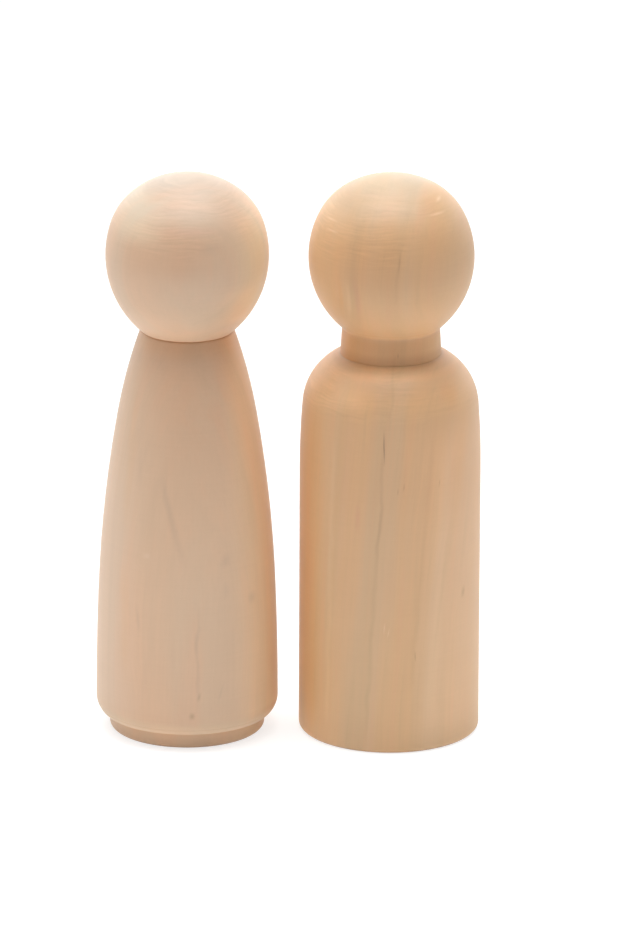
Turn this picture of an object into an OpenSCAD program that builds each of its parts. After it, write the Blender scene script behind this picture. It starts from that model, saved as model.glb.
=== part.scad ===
// A pair of plain wooden peg dolls that stand side by side: a woman in a long gown
// and a man with a straight body. Each doll is turned in one piece from a rod whose
// grain runs upright, so each is one solid of revolution about its own upright axis.
// Units are millimetres, up is +Z and the man stands on the woman's +X side.
// The origin is on the table, under the middle of the pair.

/* [Pair] */
// Free gap between the two dolls where they come closest
pair_gap = 4.4; // [1:0.2:60]
// Radius of the rounding between each doll's side and its flat base
base_round = 1.2; // [0.3:0.1:1.8]

/* [Woman, gown] */
// Diameter of the foot that the gown stands on
woman_foot_d = 32.4; // [24:0.2:34]
// Height of the foot, up to the ledge under the gown
woman_foot_h = 3.7; // [2:0.1:8]
// Diameter of the gown's lower edge, where it overhangs the foot
woman_hem_d = 35.2; // [34.4:0.2:37.4]
// Diameter of the gown at its widest
woman_gown_d = 38; // [37:0.5:48]
// Height of the rounding from the gown's lower edge to its widest ring
woman_hem_round_h = 3.2; // [1.5:0.1:6]
// Height of the gown, from its lower edge to the crease under the head
woman_gown_h = 83.2; // [60:0.2:120]

/* [Woman, head] */
// Diameter of the crease between gown and head
woman_crease_d = 19.4; // [15:0.2:21]
// Diameter of the head at its widest
woman_head_d = 33.9; // [32:0.1:37]
// Height of the head, from the crease to the crown
woman_head_h = 33.1; // [31:0.1:36]
// Angle above the widest ring at which the slow curve of the head's side ends
woman_brow_angle = 18; // [10:1:22]
// Angle above the widest ring at which the flatter curve of the crown starts
woman_crown_angle = 51; // [46:1:64]

/* [Man, body] */
// Diameter of the straight body
man_body_d = 37.7; // [34:0.5:48]
// Height of the straight part of the body
man_side_h = 57; // [30:1:64]
// Height of the body, from the table to the crease round the neck
man_body_h = 82; // [76:0.5:110]

/* [Man, neck and head] */
// Diameter of the neck where it meets the shoulders
man_neck_d = 21; // [18:0.5:26]
// Diameter of the neck where it meets the head
man_neck_top_d = 20.3; // [16:0.1:21]
// Length of the neck between shoulders and head
man_neck_h = 5.7; // [3:0.1:14]
// Diameter of the head at its widest
man_head_d = 34.4; // [33:0.1:37]
// Height of the head, from the top of the neck to the crown
man_head_h = 32.3; // [30:0.1:35]
// Angle above the widest ring at which the slow curve of the head's side ends
man_brow_angle = 28; // [14:1:28]
// Angle above the widest ring at which the flatter curve of the crown starts
man_crown_angle = 60; // [54:1:68]

/* [Hidden] */
$fn = 180;

// Largest turn and largest length of one flat along a round stretch of an outline
flat_turn = 4;
flat_l = 3;

// Places along a curve, as shares of its draw-in and of its height, counted from its foot
gown_hip_share = [0.066, 0.33];
gown_waist_share = [0.50, 0.78];
shoulder_start_share = [0.066, 0.57];

// Height of each head's widest ring, as a share of the head's height
woman_widest_share = 0.483;
man_widest_share = 0.466;

woman_colour = [0.89, 0.77, 0.66];
man_colour = [0.85, 0.70, 0.53];

// A ring of a turned shape is a pair: its radius and its height above the table.
woman_foot_top = [woman_foot_d / 2, woman_foot_h];
woman_hem = [woman_hem_d / 2, woman_foot_h];
woman_widest = [woman_gown_d / 2, woman_foot_h + woman_hem_round_h];
woman_crease = [woman_crease_d / 2, woman_foot_h + woman_gown_h];
woman_hip = ring_between(woman_widest, woman_crease, gown_hip_share);
woman_waist = ring_between(woman_widest, woman_crease, gown_waist_share);

man_side_top = [man_body_d / 2, man_side_h];
man_shoulder_crease = [man_neck_d / 2, man_body_h];
man_shoulder_start = ring_between(man_side_top, man_shoulder_crease, shoulder_start_share);
man_neck_top = [man_neck_top_d / 2, man_body_h + man_neck_h];

// Each doll's largest radius, and the places of the two axes that centre the pair
woman_reach = max(woman_gown_d, woman_head_d) / 2;
man_reach = max(man_body_d, man_head_d) / 2;
pair_half_w = woman_reach + man_reach + pair_gap / 2;
woman_x = woman_reach - pair_half_w;
man_x = pair_half_w - man_reach;

// The ring at the given shares of the way in and up from ring a to ring b
function ring_between(a, b, share) =
    [a[0] + share[0] * (b[0] - a[0]), a[1] + share[1] * (b[1] - a[1])];

// Outward direction of a turned surface that leans in by an angle from upright
function outward(lean) = [cos(lean), sin(lean)];

// Radius and centre of the arc that leaves ring a at a lean and ends at ring b
function arc_radius(a, lean, b) = (b - a) * (b - a) / (2 * (a - b) * outward(lean));
function arc_centre(a, lean, b) = a - arc_radius(a, lean, b) * outward(lean);

// Lean of that same arc where it ends at ring b
function end_lean(a, lean, b) =
    let (spoke = b - arc_centre(a, lean, b)) atan2(spoke[1], spoke[0]);

// Rings along a round stretch from one lean up to another, without the last, upper one
function round_rings(centre, radius, low_lean, high_lean) =
    let (
        turn = high_lean - low_lean,
        length = radius * turn * PI / 180,
        flats = ceil(max(turn / flat_turn, length / flat_l))
    )
    [for (i = [0:flats - 1]) centre + radius * outward(low_lean + turn * i / flats)];

// Rings along the arc that leaves ring a at a lean and ends at ring b, the lower one first
function arc_rings(a, lean, b) =
    let (other = end_lean(a, lean, b))
    round_rings(arc_centre(a, lean, b), arc_radius(a, lean, b), min(lean, other), max(lean, other));

// Rings of the rounded edge between a flat base and an upright side
function base_rings(radius) =
    concat(
        round_rings([radius - base_round, base_round], base_round, -90, 0),
        [[radius, base_round]]
    );

// Rings of a head, from the ring that carries it to its crown. It isn't a true ball: a slow arc
// runs up its side to the brow, a tighter one turns in, and a flatter one closes the crown. The
// last two radii follow from the head's height, so that all three arcs run into each other.
function head_rings(diameter, height, widest_share, brow, crown, seat) =
    let (
        widest = [diameter / 2, seat[1] + widest_share * height],
        side_centre = arc_centre(widest, 0, seat),
        side_r = arc_radius(widest, 0, seat),
        brow_ring = side_centre + side_r * outward(brow),
        crown_z = seat[1] + height,
        crown_rise = (1 - sin(crown)) / cos(crown),
        turn_r = (crown_z - brow_ring[1] - crown_rise * brow_ring[0])
            / (sin(crown) - sin(brow) + crown_rise * (cos(crown) - cos(brow))),
        crown_r = (brow_ring[0] + turn_r * (cos(crown) - cos(brow))) / cos(crown)
    )
    concat(
        arc_rings(widest, 0, seat),
        round_rings(side_centre, side_r, 0, brow),
        round_rings(brow_ring - turn_r * outward(brow), turn_r, brow, crown),
        round_rings([0, crown_z - crown_r], crown_r, crown, 90),
        [[0, crown_z]]
    );

// Rings of the gown: a rounded hem, then three arcs that draw in ever faster
function gown_rings() =
    let (
        hip_lean = end_lean(woman_widest, 0, woman_hip),
        waist_lean = end_lean(woman_hip, hip_lean, woman_waist)
    )
    concat(
        arc_rings(woman_widest, 0, woman_hem),
        arc_rings(woman_widest, 0, woman_hip),
        arc_rings(woman_hip, hip_lean, woman_waist),
        arc_rings(woman_waist, waist_lean, woman_crease)
    );

// Rings of the man's shoulders: a slow arc in from the straight side, then the rounded slope
function shoulder_rings() =
    let (shoulder_lean = end_lean(man_side_top, 0, man_shoulder_start))
    concat(
        arc_rings(man_side_top, 0, man_shoulder_start),
        arc_rings(man_shoulder_start, shoulder_lean, man_shoulder_crease)
    );

// A solid turned about the upright line at x, with its rings given from the table to the crown
module turned(x, rings) {
    translate([x, 0, 0]) rotate_extrude() polygon(concat([[0, 0]], rings));
}

// The woman: foot, gown and head, turned in one piece
module woman_doll() {
    color(woman_colour) turned(woman_x, concat(
        base_rings(woman_foot_top[0]),
        [woman_foot_top],
        gown_rings(),
        head_rings(
            woman_head_d, woman_head_h, woman_widest_share,
            woman_brow_angle, woman_crown_angle, woman_crease
        )
    ));
}

// The man: straight body, sloping shoulders, neck and head, turned in one piece
module man_doll() {
    color(man_colour) turned(man_x, concat(
        base_rings(man_side_top[0]),
        shoulder_rings(),
        [man_shoulder_crease],
        head_rings(
            man_head_d, man_head_h, man_widest_share,
            man_brow_angle, man_crown_angle, man_neck_top
        )
    ));
}

woman_doll();
man_doll();
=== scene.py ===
"""A pair of plain turned wooden peg dolls: a woman in a long gown and a man with a straight body.

Each doll is one piece of unfinished wood, turned from a rod whose grain runs upright. The script draws
each doll's outline ring by ring, spins it about the doll's own axis, and gives it a solid wood finish
whose growth rings run through the whole piece, from the side grain to the end grain of crown and base.
Lengths are in metres, and the patterns of the finishes are in millimetres.
"""

import logging
import math
from dataclasses import dataclass
from enum import Enum

import bmesh
import bpy
from mathutils import Matrix, Vector


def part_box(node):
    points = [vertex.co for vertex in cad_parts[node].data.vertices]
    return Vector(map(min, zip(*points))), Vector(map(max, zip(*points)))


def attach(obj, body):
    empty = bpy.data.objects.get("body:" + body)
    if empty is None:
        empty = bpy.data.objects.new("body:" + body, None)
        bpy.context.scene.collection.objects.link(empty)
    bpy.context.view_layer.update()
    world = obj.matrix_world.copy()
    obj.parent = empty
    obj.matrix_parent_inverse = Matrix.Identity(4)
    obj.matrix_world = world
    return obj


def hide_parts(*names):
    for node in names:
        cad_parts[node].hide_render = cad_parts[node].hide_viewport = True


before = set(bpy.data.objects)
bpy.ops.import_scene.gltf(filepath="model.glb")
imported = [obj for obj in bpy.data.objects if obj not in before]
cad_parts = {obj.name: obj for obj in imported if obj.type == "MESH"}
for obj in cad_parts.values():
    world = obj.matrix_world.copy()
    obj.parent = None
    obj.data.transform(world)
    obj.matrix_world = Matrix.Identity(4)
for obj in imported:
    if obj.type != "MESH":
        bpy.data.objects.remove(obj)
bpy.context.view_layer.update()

LOG = logging.getLogger("peg_dolls")
MM = 0.001
PER_MM = 1000.0

WHITE = (1.0, 1.0, 1.0)

Triple = tuple[float, float, float]
Colour = Triple
Socket = bpy.types.NodeSocket
Feed = Socket | float | tuple[float, ...]


def tone(red: float, green: float, blue: float) -> Colour:
    """Turn a colour as a screen shows it into the linear values that a shader takes.

    Args:
        red: Red, from 0 to 255.
        green: Green, from 0 to 255.
        blue: Blue, from 0 to 255.

    Returns:
        The same colour in linear light, each part from 0 to 1.
    """
    parts = []
    for part in (red / 255, green / 255, blue / 255):
        parts.append(part / 12.92 if part <= 0.04045 else ((part + 0.055) / 1.055) ** 2.4)
    return tuple(parts)


class Board:
    """A node tree, with short calls that add its nodes and join them."""

    def __init__(self, tree: bpy.types.NodeTree) -> None:
        """Start from an empty tree."""
        self.tree = tree
        tree.nodes.clear()

    def add(
        self, kind: str, feeds: dict[str | int, Feed] | None = None, **settings: object
    ) -> bpy.types.Node:
        """Add a node.

        Args:
            kind: The node's type, without its leading ShaderNode.
            feeds: What each of its inputs takes: another node's output or a plain value.
            **settings: The node's own options.

        Returns:
            The new node.
        """
        node = self.tree.nodes.new("ShaderNode" + kind)
        for name, value in settings.items():
            setattr(node, name, value)
        for name, value in (feeds or {}).items():
            self.feed(node.inputs[name], value)
        return node

    def feed(self, target: Socket, value: Feed) -> None:
        """Join an output to an input, or set the input to a plain value.

        Args:
            target: The input.
            value: An output, a number, a vector or a colour.
        """
        if isinstance(value, Socket):
            self.tree.links.new(value, target)
        elif target.type == "RGBA":
            target.default_value = (*value, 1.0)
        else:
            target.default_value = value

    def math(self, operation: str, first: Feed, second: Feed = 0.0, third: Feed = 0.0) -> Socket:
        """Work out a number from up to three numbers."""
        return self.add("Math", {0: first, 1: second, 2: third}, operation=operation).outputs[0]

    def vector(self, operation: str, first: Feed, second: Feed = (0.0, 0.0, 0.0)) -> bpy.types.Node:
        """Work out a vector, or a number, from one or two vectors."""
        return self.add("VectorMath", {0: first, 1: second}, operation=operation)

    def stretch(self, point: Feed, scale: Triple) -> Socket:
        """Scale a vector along its three directions."""
        return self.vector("MULTIPLY", point, scale).outputs["Vector"]

    def parts(self, point: Feed) -> bpy.types.bpy_prop_collection:
        """Split a vector into its outputs X, Y and Z."""
        return self.add("SeparateXYZ", {0: point}).outputs

    def off(self, value: Feed, middle: float) -> Socket:
        """Measure how far a number lies from a middle one."""
        return self.math("ABSOLUTE", self.math("SUBTRACT", value, middle))

    def ease(self, value: Feed, low: Feed, high: Feed, start: Feed = 0.0, end: Feed = 1.0) -> Socket:
        """Map a number smoothly from the span low to high to the span start to end, and hold it there."""
        feeds = {"Value": value, "From Min": low, "From Max": high, "To Min": start, "To Max": end}
        return self.add("MapRange", feeds, interpolation_type="SMOOTHSTEP").outputs["Result"]

    def fade(self, value: Feed, low: Feed, high: Feed) -> Socket:
        """Map a number smoothly from 1 at and below low to 0 at and above high."""
        return self.ease(value, low, high, 1.0, 0.0)

    def band(self, value: Feed, low: float, full_low: float, full_high: float, high: float) -> Socket:
        """Map a number to 1 from full_low to full_high, and smoothly to 0 at low and at high."""
        return self.math("MULTIPLY", self.ease(value, low, full_low), self.fade(value, full_high, high))

    def noise(self, point: Feed, detail: float = 2.0, roughness: float = 0.5) -> bpy.types.Node:
        """Add a solid noise about a half, with one lump per unit of the point."""
        feeds = {"Vector": point, "Scale": 1.0, "Detail": detail, "Roughness": roughness}
        return self.add("TexNoise", feeds, noise_dimensions="3D")

    def drift(self, point: Socket, scale: Triple, reach: Triple, detail: float) -> Socket:
        """Shift a point to and fro by a solid noise.

        Args:
            point: The point, in millimetres.
            scale: How often the noise repeats in a millimetre.
            reach: How far it shifts the point, in millimetres.
            detail: How many finer layers the noise has.

        Returns:
            The shifted point, in millimetres.
        """
        lumps = self.noise(self.stretch(point, scale), detail).outputs[1]
        middle = self.vector("SUBTRACT", lumps, (0.5, 0.5, 0.5)).outputs["Vector"]
        return self.vector("ADD", point, self.stretch(middle, reach)).outputs["Vector"]

    def blend(self, share: Feed, first: Feed, second: Feed) -> Socket:
        """Blend two colours.

        Args:
            share: How much of the second colour counts.
            first: The first colour.
            second: The second colour.

        Returns:
            The blended colour.
        """
        node = self.add("Mix", data_type="RGBA", clamp_factor=True)
        self.feed(node.inputs[0], share)
        self.feed(node.inputs[6], first)
        self.feed(node.inputs[7], second)
        return node.outputs[2]

    def tint(self, share: Feed, colour: Socket, factor: Colour) -> Socket:
        """Multiply a colour by a factor, as far as a share from 0 to 1 says."""
        return self.blend(share, colour, self.stretch(colour, factor))


class MarkKind(Enum):
    """The kinds of mark that show on bare turned wood, and what each multiplies its colour by."""

    GROWTH_LINE = (0.66, 0.66, 0.65)
    STAIN = (0.72, 0.74, 0.80)
    CHECK = (0.14, 0.12, 0.10)
    FLECK = (0.42, 0.37, 0.31)
    SCRATCH = (1.35, 1.60, 1.90)
    BLUSH = (0.98, 0.88, 0.96)
    AMBER_BAND = (1.03, 0.94, 0.82)
    PALE_BAND = (1.13, 1.20, 1.26)


@dataclass(frozen=True)
class Mark:
    """A mark on the side of a doll that faces the viewer, in millimetres from the doll's axis.

    Attributes:
        kind: What the mark is.
        side: How far to the right of the axis its middle is.
        height: How high its middle is above the table.
        length: Its length, upwards.
        width: Its width, sideways.
        slope: How far it moves to the right over each millimetre upwards.
        share: How strongly it shows, from 0 to 1.
        wander: How far it strays from a straight line.
    """

    kind: MarkKind
    side: float
    height: float
    length: float
    width: float
    slope: float = 0.0
    share: float = 0.5
    wander: float = 0.5


@dataclass(frozen=True)
class PaintedLightAndToneZone:
    """A soft zone where the wood's colour is tinted, in millimetres: most zones are painted light and
    shade, a few the wood's own tone.

    Attributes:
        low: Height above the table where it fades in.
        full_low: Height from which it shows in full.
        full_high: Height up to which it shows in full.
        high: Height where it has faded out.
        tint: What the wood's colour is multiplied by.
        side: How far to the right of the axis its middle is.
        width: Its width, sideways, or zero where it runs all round.
    """

    low: float
    full_low: float
    full_high: float
    high: float
    tint: Colour
    side: float = 0.0
    width: float = 0.0


@dataclass(frozen=True)
class TornGrain:
    """Fine ripples across the grain, where the tool met rising fibres.

    Attributes:
        low: Height above the table where they fade in.
        high: Height above the table where they fade out.
        side: How far to the right of the axis they are strongest.
        share: How strongly they show.
    """

    low: float
    high: float
    side: float = 0.0
    share: float = 1.0


@dataclass(frozen=True)
class WoodFinish:
    """Bare turned wood: growth rings, streaks, fibres, pores, tool marks and a few natural marks, with
    zones of painted light and shade.

    Attributes:
        name: The material's name.
        warm: Colour of the warmer layers.
        cool: Colour of the cooler layers.
        grey: Colour of the greyer streaks.
        blush: Colour of the pinker streaks.
        painted_gap_light: What the colours are multiplied by on the side that faces the other doll.
        painted_gap_light_way: The side that it faces, 1 for the right and -1 for the left.
        pith: Where the middle of the tree lies from the doll's axis, sideways and backwards.
        grain_lean: How the grain leans from upright, in radians about the sideways and the depth axis.
        ring_gap: Width of one year's growth.
        ring_share: How strongly the growth rings show.
        streak_share: How strongly the streaks show.
        torn: The places with torn grain.
        painted_light_and_tone_zones: The tinted zones, most of them painted light and shade and a few the
            wood's own tone.
        marks: The single marks.
    """

    name: str
    warm: Colour
    cool: Colour
    grey: Colour
    blush: Colour
    painted_gap_light: Colour
    painted_gap_light_way: float
    pith: tuple[float, float]
    grain_lean: tuple[float, float]
    ring_gap: float
    ring_share: float
    streak_share: float
    torn: tuple[TornGrain, ...] = ()
    painted_light_and_tone_zones: tuple[PaintedLightAndToneZone, ...] = ()
    marks: tuple[Mark, ...] = ()

    def material(self, axis_x: float) -> bpy.types.Material:
        """Make the finish for one doll.

        Args:
            axis_x: Where the doll's own axis stands, in metres along the row.

        Returns:
            The material.
        """
        made = bpy.data.materials.new(self.name)
        made.use_nodes = True
        WoodBoard(made.node_tree, self, axis_x).draw()
        return made


# How often each pattern of the tree repeats in a millimetre: out from the pith, round it and up it
LAYER_SCALE = (0.13, 0.05, 0.008)
FIBRE_SCALE = (3.2, 1.6, 0.06)
PORE_SCALE = (2.6, 2.6, 0.30)
PORE_PATCH_SCALE = (0.5, 0.25, 0.04)

# The broad and the narrow streaks: how often each repeats, and how strongly it shows
STREAKS = (((0.42, 0.12, 0.016), 1.0), ((1.3, 0.30, 0.022), 0.4))

# Where the streaks are read, so that they don't follow the layers
STREAK_SHIFT = (31.0, 17.0, 53.0)

# How often each pattern of the doll repeats in a millimetre: sideways, backwards and upwards
WAVER_SCALE = (0.05, 0.05, 0.016)
TOOL_SCALE = (0.05, 0.05, 2.2)
RIPPLE_SCALE = (0.14, 0.14, 2.1)
RIPPLE_BEND_SCALE = (0.16, 0.16, 0.3)
RIPPLE_PATCH_SCALE = (0.12, 0.12, 0.16)
STRAY_SCALE = (0.2, 0.2, 0.14)

# How far the grain wavers and the ripples bend, in millimetres
WAVER_REACH = (4.0, 4.0, 0.0)
RIPPLE_BEND = (0.0, 0.0, 1.3)

# From where to where each pattern changes from one of its two looks to the other
LAYER_SPAN = (0.36, 0.64)
GREYER_SPAN = (0.50, 0.76)
PINKER_SPAN = (0.50, 0.28)
PORE_PATCH_SPAN = (0.48, 0.72)
RIPPLE_PATCH_SPAN = (0.25, 0.55)

# How far up or down a surface faces where it turns to end grain, and how far it faces the other doll,
# where it gets painted light for the light that doll reflects
END_GRAIN_SPAN = (0.5, 0.98)
PAINTED_GAP_LIGHT_SPAN = (0.45, 0.95)

# The parts of a year in which its wood gets darker, and in which it gets light again
LATE_WOOD = (0.2, 0.8)
YEAR_END = (0.82, 1.0)

# How uneven the years are in width, and the strength of the faintest one
YEAR_SPREAD = 1.1
FAINTEST_YEAR = 0.2

# The smallest and the largest pore, and how much larger they are on end grain
PORE_SIZES = (0.09, 0.24)
END_GRAIN_PORE = 0.05

# Torn grain: the share of its height over which it fades, and how it fades sideways, in millimetres
TORN_EDGE_SHARE = 0.3
TORN_SIDE_SPAN = (7.0, 18.0)
TORN_SIDE_SHARE = 0.4

# How light the wood is before its fine structure counts, and how its surface shines and swells
BASE_LIGHT = 0.9475
ROUGHNESS = 0.44
ROUGHNESS_SPREAD = 0.12
WOOD_IOR = 1.5
BUMP_STRENGTH = 0.6
BUMP_DEPTH = 0.04 * MM

# How far the ends of a long mark take to fade out, in millimetres
MARK_FADE = 9.0


@dataclass(frozen=True)
class Relief:
    """One fine structure of the wood's surface.

    Attributes:
        pattern: Its pattern.
        light: How much it lightens the wood.
        height: How much it raises the wood.
    """

    pattern: Socket
    light: float
    height: float


class WoodBoard(Board):
    """The node tree of one doll's wood."""

    def __init__(self, tree: bpy.types.NodeTree, finish: WoodFinish, axis_x: float) -> None:
        """Find the places that the patterns are read from, in millimetres.

        Args:
            tree: The material's node tree.
            finish: The wood.
            axis_x: Where the doll's own axis stands, in metres along the row.
        """
        super().__init__(tree)
        self.finish = finish
        coordinates = self.add("TexCoord")
        self.facing = self.parts(coordinates.outputs["Normal"])
        self.place = self.add("Mapping", {
            "Vector": coordinates.outputs["Object"],
            "Location": (-axis_x * PER_MM, 0.0, 0.0),
            "Scale": (PER_MM, PER_MM, PER_MM),
        }).outputs[0]
        self.spot = self.parts(self.place)
        self.stray = self.noise(self.stretch(self.place, STRAY_SCALE)).outputs[0]
        self.rings = self._ring_place()

    def draw(self) -> None:
        """Draw the wood and join it to the material's surface."""
        wood = self.finish
        fibres = self.noise(self.stretch(self.rings, FIBRE_SCALE), detail=4.0, roughness=0.65).outputs[0]
        tool = self.noise(self.stretch(self.place, TOOL_SCALE), detail=3.0, roughness=0.6).outputs[0]
        reliefs = (
            Relief(fibres, light=0.07, height=0.4),
            Relief(tool, light=0.035, height=0.4),
            Relief(self._torn_ripples(), light=0.7, height=0.8),
            Relief(self._pores(), light=-0.05, height=-0.5),
        )
        colour = self._growth_rings(self._streaks())
        # Painted light: the side that faces the other doll is lightened, standing in for the light that
        # doll reflects onto it.
        turned_in = self.math("MULTIPLY", self.facing["X"], wood.painted_gap_light_way)
        colour = self.tint(self.ease(turned_in, *PAINTED_GAP_LIGHT_SPAN), colour, wood.painted_gap_light)
        # Zones of painted light and shade, and a few of the wood's own tone.
        for tint_zone in wood.painted_light_and_tone_zones:
            colour = self._age(colour, tint_zone)
        for mark in wood.marks:
            colour = self._draw_mark(colour, mark)
        shader = self.add("BsdfPrincipled", {
            "Base Color": self._shade(colour, reliefs),
            "Roughness": self.math("MULTIPLY_ADD", fibres, ROUGHNESS_SPREAD, ROUGHNESS),
            "IOR": WOOD_IOR,
            "Normal": self._bump(reliefs),
        })
        self.add("OutputMaterial", {"Surface": shader.outputs[0]})

    def _ring_place(self) -> Socket:
        """Measure places as they lie in the tree.

        Returns:
            The distance from the pith, the way round it and the height, in millimetres.
        """
        pith = self.finish.pith
        turned = self.add("Mapping", {
            "Vector": self.drift(self.place, WAVER_SCALE, WAVER_REACH, 2.0),
            "Location": (-pith[0], -pith[1], 0.0),
            "Rotation": (*self.finish.grain_lean, 0.0),
        }).outputs[0]
        parts = self.parts(turned)
        out = self.vector("LENGTH", self.stretch(turned, (1.0, 1.0, 0.0))).outputs["Value"]
        angle = self.math("ARCTAN2", parts["Y"], parts["X"])
        way_round = self.math("MULTIPLY", angle, math.hypot(*pith))
        return self.add("CombineXYZ", {"X": out, "Y": way_round, "Z": parts["Z"]}).outputs[0]

    def _streaks(self) -> Socket:
        """Lay the broad layers and the narrow streaks, which follow the rings and the grain.

        Returns:
            Their colour.
        """
        wood = self.finish
        broad = self.noise(self.stretch(self.rings, LAYER_SCALE)).outputs[0]
        colour = self.blend(self.ease(broad, *LAYER_SPAN), wood.cool, wood.warm)
        moved = self.vector("ADD", self.rings, STREAK_SHIFT).outputs["Vector"]
        for scale, share in STREAKS:
            streak = self.noise(self.stretch(moved, scale), detail=3.0, roughness=0.6).outputs[0]
            full = share * wood.streak_share
            colour = self.blend(self.ease(streak, *GREYER_SPAN, 0.0, full), colour, wood.grey)
            colour = self.blend(self.ease(streak, *PINKER_SPAN, 0.0, full), colour, wood.blush)
        return colour

    def _growth_rings(self, colour: Socket) -> Socket:
        """Darken the wood towards the end of each year's growth.

        Args:
            colour: The colour so far.

        Returns:
            The colour with growth rings.
        """
        wood = self.finish
        years = self.math("DIVIDE", self.parts(self.rings)["X"], wood.ring_gap)
        uneven = self.add("TexNoise", {"W": years, "Scale": 0.7, "Detail": 1.0}, noise_dimensions="1D")
        years = self.math("MULTIPLY_ADD", uneven.outputs[0], YEAR_SPREAD, years)
        season = self.math("FRACT", years)
        year = self.add("TexWhiteNoise", {"W": self.math("FLOOR", years)}, noise_dimensions="1D")
        darkening = self.math("SUBTRACT", self.ease(season, *LATE_WOOD), self.ease(season, *YEAR_END))
        strength = self.math("MULTIPLY_ADD", year.outputs[0], 1 - FAINTEST_YEAR, FAINTEST_YEAR)
        share = self.math("MULTIPLY", darkening, strength)
        return self.blend(self.math("MULTIPLY", share, wood.ring_share), colour, wood.grey)

    def _age(self, colour: Socket, tint_zone: PaintedLightAndToneZone) -> Socket:
        """Tint the wood in one zone: painted light and shade in most zones, the wood's own tone in a few.

        Args:
            colour: The colour so far.
            tint_zone: The zone.

        Returns:
            The tinted colour.
        """
        share = self.band(self.spot["Z"], tint_zone.low, tint_zone.full_low, tint_zone.full_high, tint_zone.high)
        if tint_zone.width:
            aside = self.off(self.spot["X"], tint_zone.side)
            share = self.math("MULTIPLY", share, self.fade(aside, 0.0, tint_zone.width / 2))
        return self.tint(share, colour, tint_zone.tint)

    def _pores(self) -> Socket:
        """Draw the pores: short dark dashes along the grain, which are dots on end grain.

        Returns:
            How much of a pore is there, from 0 to 1.
        """
        end_grain = self.ease(self.math("ABSOLUTE", self.facing["Z"]), *END_GRAIN_SPAN)
        feeds = {"Vector": self.stretch(self.rings, PORE_SCALE), "Scale": 1.0, "Randomness": 1.0}
        distance = self.add("TexVoronoi", feeds, voronoi_dimensions="3D", feature="F1").outputs[0]
        patches = self.noise(self.stretch(self.rings, PORE_PATCH_SCALE), detail=1.0).outputs[0]
        size = self.ease(patches, *PORE_PATCH_SPAN, *PORE_SIZES)
        return self.fade(distance, 0.0, self.math("MULTIPLY_ADD", end_grain, END_GRAIN_PORE, size))

    def _torn_ripples(self) -> Socket:
        """Draw the ripples of the torn grain.

        Returns:
            The ripples, about zero.
        """
        bent = self.drift(self.place, RIPPLE_BEND_SCALE, RIPPLE_BEND, 1.0)
        ripples = self.noise(self.stretch(bent, RIPPLE_SCALE), detail=3.0, roughness=0.6).outputs[0]
        patches = self.noise(self.stretch(self.place, RIPPLE_PATCH_SCALE), detail=1.0).outputs[0]
        total: Feed = 0.0
        for tear in self.finish.torn:
            edge = (tear.high - tear.low) * TORN_EDGE_SHARE
            inside = self.band(self.spot["Z"], tear.low, tear.low + edge, tear.high - edge, tear.high)
            aside = self.off(self.spot["X"], tear.side)
            near = self.ease(aside, *TORN_SIDE_SPAN, tear.share, TORN_SIDE_SHARE * tear.share)
            total = self.math("MULTIPLY_ADD", inside, near, total)
        centred = self.math("SUBTRACT", ripples, 0.5)
        patchy = self.math("MULTIPLY", centred, self.ease(patches, *RIPPLE_PATCH_SPAN))
        return self.math("MULTIPLY", patchy, total)

    def _draw_mark(self, colour: Socket, mark: Mark) -> Socket:
        """Draw one mark on the viewer's side of the doll.

        Args:
            colour: The colour so far.
            mark: The mark.

        Returns:
            The colour with the mark.
        """
        up = self.math("SUBTRACT", self.spot["Z"], mark.height)
        lean = self.math("MULTIPLY_ADD", up, -mark.slope, self.spot["X"])
        stray = self.math("SUBTRACT", self.stray, 0.5)
        lean = self.math("MULTIPLY_ADD", stray, 2 * mark.wander, lean)
        across = self.fade(self.off(lean, mark.side), 0.0, mark.width / 2)
        full = max(0.0, mark.length / 2 - MARK_FADE)
        along = self.fade(self.math("ABSOLUTE", up), full, mark.length / 2)
        facing = self.math("LESS_THAN", self.spot["Y"], 0.0)
        share = self.math("MULTIPLY", self.math("MULTIPLY", across, along), facing)
        return self.tint(self.math("MULTIPLY", share, mark.share), colour, mark.kind.value)

    def _shade(self, colour: Socket, reliefs: tuple[Relief, ...]) -> Socket:
        """Darken and lighten the wood by its fine structure.

        Args:
            colour: The colour so far.
            reliefs: The fine structure.

        Returns:
            The shaded colour.
        """
        light: Feed = BASE_LIGHT
        for relief in reliefs:
            light = self.math("MULTIPLY_ADD", relief.pattern, relief.light, light)
        return self.add("VectorMath", {0: colour, "Scale": light}, operation="SCALE").outputs["Vector"]

    def _bump(self, reliefs: tuple[Relief, ...]) -> Socket:
        """Raise and sink the surface by its fine structure.

        Args:
            reliefs: The fine structure.

        Returns:
            The bumped normal.
        """
        height: Feed = 0.0
        for relief in reliefs:
            height = self.math("MULTIPLY_ADD", relief.pattern, relief.height, height)
        feeds = {"Strength": BUMP_STRENGTH, "Distance": BUMP_DEPTH, "Height": height}
        return self.add("Bump", feeds).outputs[0]


# The largest turn and length of one flat along an arc, and the largest turn at a base's edge
FLAT_TURN = math.radians(3)
FLAT_LENGTH = 1.2 * MM
BASE_FLAT_TURN = math.radians(10)

# Rings closer than this are one, and edges that turn more than this stay sharp
MERGE_GAP = 0.001 * MM
SHARP_ANGLE = math.radians(32)


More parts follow.
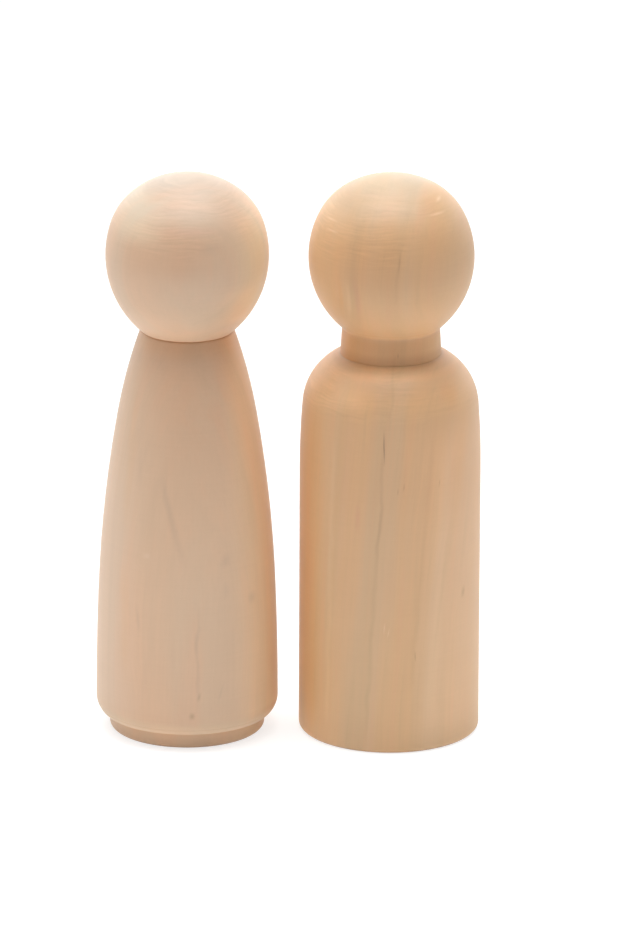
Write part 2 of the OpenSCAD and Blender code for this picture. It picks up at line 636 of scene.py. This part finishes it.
class Outline:
    """The half outline of a turned piece, drawn ring by ring from the middle of its base to its crown."""

    def __init__(self, axis_x: float) -> None:
        """Start at the middle of the base.

        Args:
            axis_x: Where the piece's upright axis stands.
        """
        self.axis_x = axis_x
        self.mesh = bmesh.new()
        self.tip = self.mesh.verts.new((axis_x, 0.0, 0.0))

    def ring(self) -> Vector:
        """Return the ring reached so far, as its radius and its height."""
        return Vector((self.tip.co.x - self.axis_x, self.tip.co.z))

    def straight(self, ring: Vector) -> None:
        """Extrude the outline straight to a ring.

        Args:
            ring: The ring's radius and height.
        """
        made = bmesh.ops.extrude_vert_indiv(self.mesh, verts=[self.tip])
        self.tip = made["verts"][0]
        self.tip.co = Vector((self.axis_x + ring.x, 0.0, ring.y))

    def sweep(self, centre: Vector, turn: float, flat_turn: float = FLAT_TURN) -> None:
        """Spin the outline's tip about a centre, which draws an arc.

        Args:
            centre: The arc's centre, as a radius and a height.
            turn: The angle of the arc, positive where it runs from outwards to upwards.
            flat_turn: The largest turn of one flat.
        """
        length = abs(turn) * (self.ring() - centre).length
        steps = max(2, math.ceil(max(abs(turn) / flat_turn, length / FLAT_LENGTH)))
        made = bmesh.ops.spin(
            self.mesh,
            geom=[self.tip],
            cent=(self.axis_x + centre.x, 0.0, centre.y),
            axis=(0.0, -1.0, 0.0),
            angle=turn,
            steps=steps,
            use_merge=False,
            use_duplicate=False,
        )
        self.tip = next(part for part in made["geom_last"] if isinstance(part, bmesh.types.BMVert))

    def leave(self, lean: float, ring: Vector) -> float:
        """Draw the arc that leaves here at a lean and ends at a ring.

        Args:
            lean: How far the outward direction leans up where the arc starts.
            ring: The ring where it ends.

        Returns:
            How far the outward direction leans up at the end.
        """
        centre = arc_centre(self.ring(), lean, ring)
        end = spoke_lean(centre, ring)
        self.sweep(centre, end - spoke_lean(centre, self.ring()))
        return end

    def sweep_scored(self, centre: Vector, turn: float, score: "Score") -> None:
        """Draw an arc with a fine tool line across it.

        Args:
            centre: The arc's centre, as a radius and a height.
            turn: The angle of the arc.
            score: The tool line, placed from the arc's start.
        """
        spoke = self.ring() - centre
        way = math.copysign(1 / spoke.length, turn)
        opening, closing = (way * (score.distance + side * score.width / 2) for side in (-1, 1))
        bottom = Matrix.Rotation((opening + closing) / 2, 2) @ spoke
        self.sweep(centre, opening)
        self.straight(centre + bottom * (1 - score.depth / spoke.length))
        self.straight(centre + Matrix.Rotation(closing, 2) @ spoke)
        self.sweep(centre, turn - closing)

    def round_corner(self, corner: Vector, centre: Vector, radius: float) -> None:
        """Run straight towards a corner and turn softly into the arc that starts there.

        Args:
            corner: The hollow corner.
            centre: The centre of the arc that starts at the corner.
            radius: Radius of the soft turn.
        """
        along = (corner - self.ring()).normalized()
        out = Vector((along.y, -along.x))
        reach = (corner - centre).length + radius
        offset = corner + radius * out - centre
        slide = offset.dot(along)
        back = slide + math.sqrt(slide**2 - offset.length_squared + reach**2)
        turn_centre = centre + offset - back * along
        self.straight(turn_centre - radius * out)
        start = spoke_lean(turn_centre, self.ring())
        self.sweep(turn_centre, math.remainder(spoke_lean(turn_centre, centre) - start, math.tau))

    def turned(self, name: str, flats: int) -> bpy.types.Object:
        """Spin the outline about the piece's axis into a closed mesh.

        Args:
            name: The piece's name.
            flats: How many flats go round it.

        Returns:
            The piece.
        """
        bmesh.ops.spin(
            self.mesh,
            geom=self.mesh.verts[:] + self.mesh.edges[:],
            cent=(self.axis_x, 0.0, 0.0),
            axis=(0.0, 0.0, 1.0),
            angle=math.tau,
            steps=flats,
            use_merge=True,
            use_duplicate=False,
        )
        bmesh.ops.remove_doubles(self.mesh, verts=self.mesh.verts[:], dist=MERGE_GAP)
        bmesh.ops.recalc_face_normals(self.mesh, faces=self.mesh.faces[:])
        data = bpy.data.meshes.new(name)
        self.mesh.to_mesh(data)
        self.mesh.free()
        data.shade_smooth()
        data.set_sharp_from_angle(angle=SHARP_ANGLE)
        piece = bpy.data.objects.new(name, data)
        bpy.context.scene.collection.objects.link(piece)
        return piece


def outward(lean: float) -> Vector:
    """Return the direction that leans up by an angle from straight outwards."""
    return Vector((math.cos(lean), math.sin(lean)))


def arc_centre(start: Vector, lean: float, end: Vector) -> Vector:
    """Find the centre of the arc that leaves one ring at a lean and passes through another.

    Args:
        start: The ring where the lean is known.
        lean: How far the outward direction leans up there.
        end: The other ring.

    Returns:
        The centre, as a radius and a height.
    """
    chord = end - start
    radius = chord.length_squared / (-2 * chord.dot(outward(lean)))
    return start - radius * outward(lean)


def spoke_lean(centre: Vector, ring: Vector) -> float:
    """Return how far the spoke from an arc's centre to a ring leans up."""
    spoke = ring - centre
    return math.atan2(spoke.y, spoke.x)


def ring_between(low: Vector, high: Vector, draw_in: float, rise: float) -> Vector:
    """Find the ring at a share of the way in and a share of the way up from low to high."""
    return Vector((low.x + draw_in * (high.x - low.x), low.y + rise * (high.y - low.y)))


@dataclass(frozen=True)
class Score:
    """A fine line that the tool leaves round a turned piece.

    Attributes:
        distance: How far along its arc it lies.
        width: Its width.
        depth: Its depth.
    """

    distance: float
    width: float
    depth: float


@dataclass(frozen=True)
class Head:
    """A head of three arcs: a slow one up its side, a tighter one that turns in, and the crown's.

    Attributes:
        diameter: Its diameter at its widest.
        height: From the ring that carries it to the crown.
        widest_share: Height of its widest ring, as a share of its height.
        brow: How far above the widest ring the side's arc ends, in radians.
        crown: How far above the widest ring the crown's arc starts, in radians.
        neck_round: Radius of the soft turn from a neck into the head.
        lip: The tool line round its underside.
    """

    diameter: float
    height: float
    widest_share: float
    brow: float
    crown: float
    neck_round: float = 0.0
    lip: Score = Score(1.0 * MM, 0.3 * MM, 0.03 * MM)

    def widest(self, seat: Vector) -> Vector:
        """Return the widest ring of a head that starts at a seat."""
        return Vector((self.diameter / 2, seat.y + self.widest_share * self.height))

    def side_centre(self, seat: Vector) -> Vector:
        """Return the centre of the side's arc of a head that starts at a seat."""
        return arc_centre(self.widest(seat), 0.0, seat)

    def draw(self, outline: Outline, seat: Vector) -> None:
        """Draw the head, up to the crown.

        Args:
            outline: The doll's outline.
            seat: The ring that carries the head.
        """
        side = self.side_centre(seat)
        side_r = (seat - side).length
        if self.neck_round:
            outline.round_corner(seat, side, self.neck_round)
        outline.sweep_scored(side, -spoke_lean(side, outline.ring()), self.lip)
        outline.sweep(side, self.brow)
        brow_ring = side + side_r * outward(self.brow)
        crown_z = seat.y + self.height
        rise = (1 - math.sin(self.crown)) / math.cos(self.crown)
        turned_in = outward(self.crown) - outward(self.brow)
        turn_r = (crown_z - brow_ring.y - rise * brow_ring.x) / (turned_in.y + rise * turned_in.x)
        outline.sweep(brow_ring - turn_r * outward(self.brow), self.crown - self.brow)
        crown_r = outline.ring().x / math.cos(self.crown)
        outline.sweep(Vector((0.0, crown_z - crown_r)), math.pi / 2 - self.crown)


@dataclass(frozen=True)
class PegDoll:
    """What both dolls share: a name, a place in the frame, a finish and a flat base.

    Attributes:
        node: The CAD node that the doll replaces, whose name it takes its place from.
        body: The body that it rides on.
        slot: The name of a material slot, which is not used.
        finish: Its wood.
        head: Its head.
        base_round: Radius of the rounding between its side and its base.
        flats: How many flats go round it.
    """

    node: str
    body: str
    slot: str
    finish: WoodFinish
    head: Head
    base_round: float = 1.2 * MM
    flats: int = 192

    def axis_x(self) -> float:
        """Return where the doll's upright axis stands, from the box of its node."""
        low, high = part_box(self.node)
        return (low[0] + high[0]) / 2

    def draw_body(self, outline: Outline) -> Vector:
        """Draw the outline from the base to the head.

        Args:
            outline: The doll's outline, at the middle of its base.

        Returns:
            The ring that carries the head.
        """
        raise NotImplementedError

    def draw_base(self, outline: Outline, radius: float) -> None:
        """Draw the flat underside and the rounded edge round it, out to a radius."""
        outline.straight(Vector((radius - self.base_round, 0.0)))
        outline.sweep(Vector((radius - self.base_round, self.base_round)), math.pi / 2, BASE_FLAT_TURN)

    def build(self) -> bpy.types.Object:
        """Turn the doll and let it ride in its node's place.

        Returns:
            The doll's piece, without its finish.
        """
        outline = Outline(self.axis_x())
        self.head.draw(outline, self.draw_body(outline))
        piece = outline.turned(self.node.replace("_doll", "_turned"), self.flats)
        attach(piece, self.body)
        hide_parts(self.node)
        return piece

    def dress(self, piece: bpy.types.Object) -> None:
        """Give the doll's piece its finish."""
        piece.data.materials.append(self.finish.material(self.axis_x()))


@dataclass(frozen=True)
class WomanDoll(PegDoll):
    """The woman: a foot, a long gown that draws in to a crease, and a head.

    Attributes:
        foot_d: Diameter of the foot.
        foot_h: Height of the foot, up to the ledge under the gown.
        hem_d: Diameter of the gown's lower edge.
        gown_d: Diameter of the gown at its widest.
        hem_round_h: Height of the rounding from the lower edge to the widest ring.
        gown_h: Height of the gown, up to the crease.
        crease_d: Diameter of the crease under the head.
        hip: Shares of the way in and up at which the hip's curve ends.
        waist: Shares of the way in and up at which the waist's curve ends.
        hem_line: The tool line round the hem, just above the ledge.
        rim_round: How far below the crease the gown's rounded upper rim starts.
        crease_sink: How much deeper the crease is than the drawn one.
    """

    foot_d: float = 32.4 * MM
    foot_h: float = 3.7 * MM
    hem_d: float = 35.2 * MM
    gown_d: float = 38.0 * MM
    hem_round_h: float = 3.2 * MM
    gown_h: float = 83.2 * MM
    crease_d: float = 19.4 * MM
    hip: tuple[float, float] = (0.066, 0.33)
    waist: tuple[float, float] = (0.50, 0.78)
    hem_line: Score = Score(1.5 * MM, 0.35 * MM, 0.08 * MM)
    rim_round: float = 0.6 * MM
    crease_sink: float = 0.14 * MM

    def draw_body(self, outline: Outline) -> Vector:
        """Draw the foot, the ledge and the gown.

        Args:
            outline: The doll's outline, at the middle of its base.

        Returns:
            The crease that carries the head.
        """
        widest = Vector((self.gown_d / 2, self.foot_h + self.hem_round_h))
        crease = Vector((self.crease_d / 2, self.foot_h + self.gown_h))
        self.draw_base(outline, self.foot_d / 2)
        outline.straight(Vector((self.foot_d / 2, self.foot_h)))
        outline.straight(Vector((self.hem_d / 2, self.foot_h)))
        hem = arc_centre(widest, 0.0, outline.ring())
        outline.sweep_scored(hem, -spoke_lean(hem, outline.ring()), self.hem_line)
        lean = outline.leave(0.0, ring_between(widest, crease, *self.hip))
        lean = outline.leave(lean, ring_between(widest, crease, *self.waist))
        top = arc_centre(outline.ring(), lean, crease)
        top_r = (crease - top).length
        rim_lean = spoke_lean(top, crease) - self.rim_round / top_r
        outline.sweep(top, rim_lean - lean)
        outline.leave(rim_lean, self._sunk_crease(crease))
        return crease

    def _sunk_crease(self, crease: Vector) -> Vector:
        """Find where the head's underside reaches the sunk crease.

        Args:
            crease: The ring of the drawn crease.

        Returns:
            The ring of the sunk crease.
        """
        side = self.head.side_centre(crease)
        sunk_r = crease.x - self.crease_sink
        drop = math.sqrt((crease - side).length_squared - (sunk_r - side.x) ** 2)
        return Vector((sunk_r, side.y - drop))


@dataclass(frozen=True)
class ManDoll(PegDoll):
    """The man: a straight body with sloping shoulders, a neck and a head.

    Attributes:
        body_d: Diameter of the body.
        side_h: Height of the straight part of the body.
        body_h: Height of the body, up to the crease round the neck.
        neck_d: Diameter of the neck at the shoulders.
        neck_top_d: Diameter of the neck under the head.
        neck_h: Length of the neck.
        shoulder_start: Shares of the way in and up at which the slow curve ends.
    """

    body_d: float = 37.7 * MM
    side_h: float = 57.0 * MM
    body_h: float = 82.0 * MM
    neck_d: float = 21.0 * MM
    neck_top_d: float = 20.3 * MM
    neck_h: float = 5.7 * MM
    shoulder_start: tuple[float, float] = (0.066, 0.57)

    def draw_body(self, outline: Outline) -> Vector:
        """Draw the straight side and the shoulders.

        Args:
            outline: The doll's outline, at the middle of its base.

        Returns:
            The top of the neck, which carries the head.
        """
        side_top = Vector((self.body_d / 2, self.side_h))
        crease = Vector((self.neck_d / 2, self.body_h))
        self.draw_base(outline, self.body_d / 2)
        outline.straight(side_top)
        lean = outline.leave(0.0, ring_between(side_top, crease, *self.shoulder_start))
        outline.leave(lean, crease)
        return Vector((self.neck_top_d / 2, self.body_h + self.neck_h))


WOMAN_WOOD = WoodFinish(
    name="woman_wood",
    warm=tone(209, 173, 143),
    cool=tone(203, 174, 147),
    grey=tone(190, 163, 137),
    blush=tone(213, 169, 138),
    # Painted light on the side that faces the man, for the light he reflects onto it.
    painted_gap_light=(1.20, 1.23, 1.16),
    painted_gap_light_way=1.0,
    pith=(-14.0, 120.0),
    grain_lean=(math.radians(1.5), math.radians(-2.0)),
    ring_gap=2.6,
    ring_share=0.09,
    streak_share=0.26,
    torn=(TornGrain(104.0, 124.0, 2.0, 0.48),),
    painted_light_and_tone_zones=(
        # The foot: warmer all round, painted shade on its side towards the man, and a little darker and
        # cooler on its left.
        PaintedLightAndToneZone(0.0, 0.3, 3.2, 4.2, (1.05, 1.00, 0.93)),
        PaintedLightAndToneZone(0.0, 0.3, 3.2, 4.2, (0.76, 0.67, 0.57), 18.0, 17.0),
        PaintedLightAndToneZone(0.0, 0.3, 3.2, 4.2, (0.92, 0.93, 0.95), -18.0, 18.0),
        # Painted contact shade: a darker line round the edge of the base, where it meets the table.
        PaintedLightAndToneZone(0.0, 0.1, 0.25, 0.7, (0.64, 0.58, 0.52)),
        # The gown: a little cooler just above the ledge, and painted shade on the hem's side towards the
        # man.
        PaintedLightAndToneZone(3.6, 3.8, 5.2, 7.0, (0.93, 0.97, 0.965)),
        PaintedLightAndToneZone(3.6, 3.8, 5.8, 7.6, (0.90, 0.80, 0.74), 18.0, 14.0),
        # Lighter low on the gown, painted sheen on its left, and the head's painted shadow high on it.
        PaintedLightAndToneZone(3.6, 3.8, 48.0, 72.0, (1.055, 1.045, 1.03)),
        PaintedLightAndToneZone(4.0, 10.0, 50.0, 66.0, (1.00, 1.02, 1.06), -15.0, 14.0),
        PaintedLightAndToneZone(30.0, 72.0, 86.9, 87.1, (0.965, 0.895, 0.85), 2.0, 36.0),
        # Painted light on the gown's rim just under the head.
        PaintedLightAndToneZone(82.0, 86.0, 86.9, 87.1, (1.05, 1.0, 0.93)),
        # The head: a little darker on its lower part and lighter low on its right, painted shade across
        # its middle and a painted highlight high on its left.
        PaintedLightAndToneZone(87.1, 87.3, 94.0, 99.0, (0.96, 0.96, 0.95)),
        PaintedLightAndToneZone(90.0, 92.0, 97.0, 101.0, (1.10, 1.07, 1.03), 11.0, 14.0),
        PaintedLightAndToneZone(100.5, 105.5, 109.0, 115.0, (0.95, 0.90, 0.87), 0.0, 36.0),
        PaintedLightAndToneZone(107.0, 111.0, 116.0, 119.0, (1.05, 1.18, 1.24), -10.0, 16.0),
        # The wood's own tone: a pinker streak on the head's right made more neutral.
        PaintedLightAndToneZone(90.0, 96.0, 108.0, 114.0, (0.98, 1.06, 1.08), 14.8, 9.0),
        # Painted highlight at the crown, whiter and bluer towards the top, and partly the paler end grain
        # there.
        PaintedLightAndToneZone(111.5, 116.0, 120.5, 121.0, (0.92, 0.965, 1.02)),
        PaintedLightAndToneZone(116.5, 119.5, 120.5, 121.0, (0.96, 1.04, 1.13)),
    ),
    marks=(
        Mark(MarkKind.STAIN, -3.0, 50.4, 21.0, 2.4, -0.26, 0.3),
        Mark(MarkKind.STAIN, 2.4, 20.5, 27.0, 1.3, 0.0, 0.22, 1.2),
        Mark(MarkKind.STAIN, 2.5, 24.0, 7.0, 1.6, 0.0, 0.2, 1.2),
        Mark(MarkKind.FLECK, 1.3, 8.2, 2.2, 1.9, 0.0, 0.36, 0.2),
        Mark(MarkKind.FLECK, 2.7, 12.4, 2.8, 1.1, 0.2, 0.26, 0.2),
        Mark(MarkKind.STAIN, 13.5, 32.3, 3.8, 2.2, 0.0, 0.36),
        Mark(MarkKind.STAIN, 8.1, 41.4, 4.4, 3.0, 0.1, 0.3),
        Mark(MarkKind.STAIN, 8.2, 35.0, 5.0, 1.8, 0.0, 0.16),
        Mark(MarkKind.STAIN, 7.2, 13.0, 5.5, 0.8, 0.28, 0.22),
        Mark(MarkKind.STAIN, -10.0, 28.2, 9.0, 1.3, -0.04, 0.26),
        Mark(MarkKind.SCRATCH, -8.2, 42.3, 2.0, 2.4, 0.0, 0.14),
        Mark(MarkKind.AMBER_BAND, -12.8, 27.0, 30.0, 3.0, 0.0, 0.35),
        Mark(MarkKind.AMBER_BAND, -11.5, 62.0, 34.0, 2.6, 0.08, 0.3),
        Mark(MarkKind.STAIN, -9.5, 60.0, 14.0, 1.8, 0.05, 0.12),
        Mark(MarkKind.STAIN, -8.6, 16.5, 15.0, 1.8, 0.0, 0.15),
        Mark(MarkKind.STAIN, -4.5, 57.0, 8.0, 1.8, -0.1, 0.12),
        Mark(MarkKind.STAIN, 4.8, 108.6, 3.4, 7.0, 0.0, 0.22, 1.0),
        Mark(MarkKind.BLUSH, 1.0, 112.0, 3.0, 20.0, 0.0, 0.35, 1.5),
    ),
)

MAN_WOOD = WoodFinish(
    name="man_wood",
    warm=tone(208, 166, 124),
    cool=tone(203, 167, 130),
    grey=tone(188, 156, 118),
    blush=tone(212, 162, 125),
    # Painted light on the side that faces the woman, for the light she reflects onto it.
    painted_gap_light=(1.20, 1.18, 1.12),
    painted_gap_light_way=-1.0,
    pith=(-60.0, 4.0),
    grain_lean=(math.radians(0.5), math.radians(-3.7)),
    ring_gap=9.4,
    ring_share=0.24,
    streak_share=0.28,
    torn=(TornGrain(102.0, 122.0, -6.0, 0.44), TornGrain(70.0, 84.0, -8.0, 0.4)),
    painted_light_and_tone_zones=(
        # Painted contact shade: a darker line round the edge of the base, where it meets the table.
        PaintedLightAndToneZone(0.0, 0.1, 0.25, 0.7, (0.70, 0.64, 0.58)),
        # The body: painted shade low on the side towards the woman, lighter low down, painted light on
        # its right, away from her, and a little darker high up.
        PaintedLightAndToneZone(0.0, 0.3, 6.0, 20.0, (0.94, 0.95, 0.96), -18.0, 12.0),
        PaintedLightAndToneZone(0.0, 0.3, 8.0, 44.0, (1.03, 1.05, 1.04)),
        PaintedLightAndToneZone(0.0, 8.0, 64.0, 74.0, (1.10, 1.08, 1.10), 12.0, 26.0),
        PaintedLightAndToneZone(44.0, 60.0, 71.0, 76.0, (0.975, 0.95, 0.925)),
        # The shoulders: painted light that lifts the shade round the neck, with painted highlights on
        # their front and high on their left.
        PaintedLightAndToneZone(72.0, 77.0, 79.5, 81.0, (1.04, 1.0, 0.96)),
        PaintedLightAndToneZone(79.0, 80.6, 81.6, 82.0, (1.10, 1.06, 1.01)),
        PaintedLightAndToneZone(78.5, 80.3, 81.9, 82.0, (1.22, 1.27, 1.31), 1.0, 26.0),
        PaintedLightAndToneZone(73.0, 76.0, 79.0, 81.5, (1.12, 1.14, 1.17), -9.5, 12.0),
        # The neck: painted shade under the head, deepest at its base, and lighter and cooler on its
        # right.
        PaintedLightAndToneZone(81.9, 82.1, 86.0, 89.5, (0.99, 0.87, 0.73)),
        PaintedLightAndToneZone(81.9, 82.1, 82.8, 84.6, (0.93, 0.90, 0.88)),
        PaintedLightAndToneZone(81.9, 82.1, 86.0, 88.0, (1.04, 1.13, 1.16), 11.0, 12.0),
        # The head: a little darker and warmer on its lower part, darker in patches at its sides, and
        # painted shade across its middle.
        PaintedLightAndToneZone(87.5, 88.5, 97.0, 104.0, (0.97, 0.95, 0.91)),
        PaintedLightAndToneZone(97.0, 104.0, 109.0, 115.0, (0.95, 0.92, 0.89)),
        PaintedLightAndToneZone(97.0, 103.0, 107.0, 112.0, (0.99, 0.95, 0.91), -5.0, 24.0),
        PaintedLightAndToneZone(100.0, 106.0, 113.0, 118.0, (0.94, 0.95, 0.94), 17.5, 14.0),
        # Painted highlight at the crown, whiter and bluer towards the top, and partly the paler end grain
        # there.
        PaintedLightAndToneZone(112.0, 116.5, 120.5, 121.0, (0.92, 0.975, 1.04)),
        PaintedLightAndToneZone(116.8, 119.6, 120.5, 121.0, (0.97, 1.10, 1.26)),
    ),
    marks=(
        Mark(MarkKind.GROWTH_LINE, -3.1, 36.0, 72.0, 1.5, 0.062, 0.18, 0.9),
        Mark(MarkKind.GROWTH_LINE, -2.3, 50.0, 18.0, 1.1, 0.062, 0.22, 0.9),
        Mark(MarkKind.GROWTH_LINE, 0.2, 78.0, 22.0, 1.2, 0.062, 0.14),
        Mark(MarkKind.GROWTH_LINE, 1.2, 103.5, 17.0, 1.3, 0.05, 0.15),
        Mark(MarkKind.FLECK, 1.5, 106.2, 6.0, 0.6, 0.10, 0.2, 0.1),
        Mark(MarkKind.CHECK, -1.4, 67.0, 8.6, 0.27, -0.03, 0.8, 0.15),
        Mark(MarkKind.CHECK, 1.4, 84.2, 1.8, 0.4, 0.0, 0.25, 0.1),
        Mark(MarkKind.GROWTH_LINE, 6.6, 42.0, 62.0, 1.8, 0.085, 0.15),
        Mark(MarkKind.PALE_BAND, 9.8, 36.0, 66.0, 4.8, 0.05, 0.3),
        Mark(MarkKind.PALE_BAND, -12.4, 36.0, 70.0, 1.5, 0.02, 0.3),
        # Painted warm reflection and shade: an amber band down the side that faces the woman.
        Mark(MarkKind.AMBER_BAND, -16.0, 36.0, 80.0, 6.0, 0.0, 0.4),
        Mark(MarkKind.BLUSH, -7.0, 97.5, 15.0, 2.0, -0.10, 0.6),
        Mark(MarkKind.PALE_BAND, -8.9, 97.0, 14.0, 1.5, -0.10, 0.5),
        Mark(MarkKind.AMBER_BAND, -10.6, 98.0, 14.0, 1.6, -0.10, 0.6),
        Mark(MarkKind.AMBER_BAND, 9.0, 115.8, 8.0, 9.0, 0.0, 0.5, 1.0),
        Mark(MarkKind.AMBER_BAND, 12.0, 76.5, 12.0, 5.0, -0.4, 0.45, 1.0),
        Mark(MarkKind.BLUSH, -6.9, 51.2, 9.0, 1.8, 0.0, 0.6),
        Mark(MarkKind.FLECK, 1.6, 57.4, 2.0, 0.4, 0.1, 0.22),
        Mark(MarkKind.FLECK, 2.8, 58.4, 2.4, 0.4, 0.1, 0.26),
        Mark(MarkKind.FLECK, 10.0, 58.6, 2.4, 0.4, 0.1, 0.24),
        Mark(MarkKind.FLECK, 5.4, 21.3, 3.2, 0.4, 0.0, 0.36),
        Mark(MarkKind.FLECK, 15.1, 33.2, 3.4, 1.2, 0.1, 0.26),
        Mark(MarkKind.SCRATCH, -1.1, 27.6, 3.4, 0.35, 0.05, 0.28),
        Mark(MarkKind.SCRATCH, -0.2, 26.6, 2.8, 0.3, 0.08, 0.28),
        Mark(MarkKind.SCRATCH, -12.3, 110.9, 0.7, 3.4, 0.0, 0.34, 0.3),
        Mark(MarkKind.SCRATCH, -12.4, 112.8, 0.7, 3.0, 0.0, 0.28, 0.3),
        Mark(MarkKind.SCRATCH, 9.3, 114.6, 0.7, 4.6, 0.0, 0.38, 0.3),
        Mark(MarkKind.SCRATCH, 9.6, 116.6, 1.0, 1.6, 0.0, 0.4, 0.2),
    ),
)

WOMAN = WomanDoll(
    node="woman_doll",
    body="woman",
    slot="woman_wood",
    finish=WOMAN_WOOD,
    head=Head(33.9 * MM, 33.1 * MM, 0.483, brow=math.radians(18), crown=math.radians(51)),
)

MAN = ManDoll(
    node="man_doll",
    body="man",
    slot="man_wood",
    finish=MAN_WOOD,
    head=Head(
        34.4 * MM, 32.3 * MM, 0.466,
        brow=math.radians(28), crown=math.radians(60), neck_round=0.8 * MM,
    ),
)


@dataclass(frozen=True)
class Softbox:
    """A flat soft lamp that faces the dolls.

    Attributes:
        name: The lamp's name.
        place: Where it hangs.
        size: Its width and height.
        power: Its power in watts.
    """

    name: str
    place: Triple
    size: tuple[float, float]
    power: float

    def hang(self, aim: Vector) -> None:
        """Hang the lamp.

        Args:
            aim: The point that it faces.
        """
        lamp = bpy.data.lights.new(self.name, "AREA")
        lamp.shape = "RECTANGLE"
        lamp.size, lamp.size_y = self.size
        lamp.energy = self.power
        holder = bpy.data.objects.new(self.name, lamp)
        holder.location = self.place
        holder.rotation_euler = (aim - Vector(self.place)).to_track_quat("-Z", "Y").to_euler()
        holder.visible_camera = False
        bpy.context.scene.collection.objects.link(holder)


@dataclass(frozen=True)
class Studio:
    """A white table top under plain soft light, with a white room round it.

    Attributes:
        floor_w: Width and depth of the table top.
        matt: How much light the table top gives back.
        glow: Brightness of the table top's own light, as on a light table.
        fill: Brightness of the room's own light.
        shadow_reach: How far from the middle the table top's shadows start to fade, and end.
        shadow_lift: Share of plain white in what is seen of the table top, before they fade.
        aim_h: Height of the point that the lamps face.
        lamps: The lamps.
    """

    floor_w: float = 12.0
    matt: float = 0.93
    glow: float = 0.363
    fill: float = 0.039
    shadow_reach: tuple[float, float] = (0.2, 0.7)
    shadow_lift: float = 0.6
    aim_h: float = 0.06
    lamps: tuple[Softbox, ...] = (
        Softbox("top_softbox", (0.0, 0.0, 1.4), (1.2, 1.2), 25.0),
        Softbox("back_softbox", (0.0, 1.2, 0.52), (4.0, 1.1), 17.8),
        Softbox("left_softbox", (-1.0, 0.0, 1.1), (0.9, 1.0), 4.4),
        Softbox("right_softbox", (1.0, 0.0, 1.1), (0.9, 1.0), 2.05),
    )

    def build(self) -> None:
        """Build the floor, the lamps and the room."""
        self._lay_floor()
        for lamp in self.lamps:
            lamp.hang(Vector((0.0, 0.0, self.aim_h)))
        self._light_room()

    def _seen(self, board: Board) -> Socket:
        """Return 1 for what is seen straight, in gloss or through glass, and 0 for other light."""
        path = board.add("LightPath").outputs
        gloss = board.math("MAXIMUM", path["Is Camera Ray"], path["Is Glossy Ray"])
        return board.math("MAXIMUM", gloss, path["Is Transmission Ray"])

    def _lay_floor(self) -> None:
        """Lay the white table top, which keeps a soft shadow."""
        mesh = bmesh.new()
        bmesh.ops.create_grid(mesh, x_segments=1, y_segments=1, size=self.floor_w / 2)
        data = bpy.data.meshes.new("table_top")
        mesh.to_mesh(data)
        mesh.free()
        floor = bpy.data.objects.new("table_top", data)
        bpy.context.scene.collection.objects.link(floor)
        made = bpy.data.materials.new("table_white")
        made.use_nodes = True
        board = Board(made.node_tree)
        matt = board.add("BsdfDiffuse", {"Color": (self.matt,) * 3})
        glow = board.add("Emission", {"Color": WHITE, "Strength": self.glow})
        lit = board.add("AddShader", {0: matt.outputs[0], 1: glow.outputs[0]})
        white = board.add("Emission", {"Color": WHITE, "Strength": 1.0})
        away = board.vector("LENGTH", board.add("TexCoord").outputs["Object"]).outputs["Value"]
        whiteness = board.ease(away, *self.shadow_reach, self.shadow_lift, 1.0)
        share = board.math("MULTIPLY", self._seen(board), whiteness)
        mixed = board.add("MixShader", {0: share, 1: lit.outputs[0], 2: white.outputs[0]})
        board.add("OutputMaterial", {"Surface": mixed.outputs[0]})
        data.materials.append(made)

    def _light_room(self) -> None:
        """Fill the room with even light, and show it white."""
        world = bpy.data.worlds.new("white_room")
        world.use_nodes = True
        board = Board(world.node_tree)
        fill = board.add("Background", {"Color": WHITE, "Strength": self.fill})
        white = board.add("Background", {"Color": WHITE, "Strength": 1.0})
        mixed = board.add("MixShader", {0: self._seen(board), 1: fill.outputs[0], 2: white.outputs[0]})
        board.add("OutputWorld", {"Surface": mixed.outputs[0]})
        bpy.context.scene.world = world


@dataclass(frozen=True)
class Viewpoint:
    """The camera, which looks down at the dolls from the front with a long lens.

    Attributes:
        place: Where it stands.
        pitch: How far it looks down from level, in radians.
        roll: How far it is turned about its own line of sight, in radians.
        lens: Its focal length, in millimetres.
        sensor: The longer side of its sensor, in millimetres.
        sight: How far it sees.
    """

    place: Triple = (4.52 * MM, -2.0, 709.3 * MM)
    pitch: float = math.radians(18.06)
    roll: float = math.radians(0.23)
    lens: float = 391.07
    sensor: float = 36.0
    sight: float = 100.0

    def build(self) -> None:
        """Set up the camera."""
        data = bpy.data.cameras.new("camera")
        data.lens = self.lens
        data.sensor_width = self.sensor
        data.clip_end = self.sight
        camera = bpy.data.objects.new("camera", data)
        tilt = Matrix.Rotation(math.pi / 2 - self.pitch, 4, "X") @ Matrix.Rotation(self.roll, 4, "Z")
        camera.matrix_world = Matrix.Translation(self.place) @ tilt
        bpy.context.scene.collection.objects.link(camera)
        bpy.context.scene.camera = camera


def main() -> None:
    """Build the dolls, the studio and the camera."""
    logging.basicConfig(level=logging.INFO, format="%(name)s: %(message)s")
    Viewpoint().build()
    for doll in (WOMAN, MAN):
        piece = doll.build()
        doll.dress(piece)
        LOG.info("%s has %d faces", piece.name, len(piece.data.polygons))
    Studio().build()
    bpy.context.scene.view_settings.view_transform = "Standard"


if __name__ == "__main__":
    main()
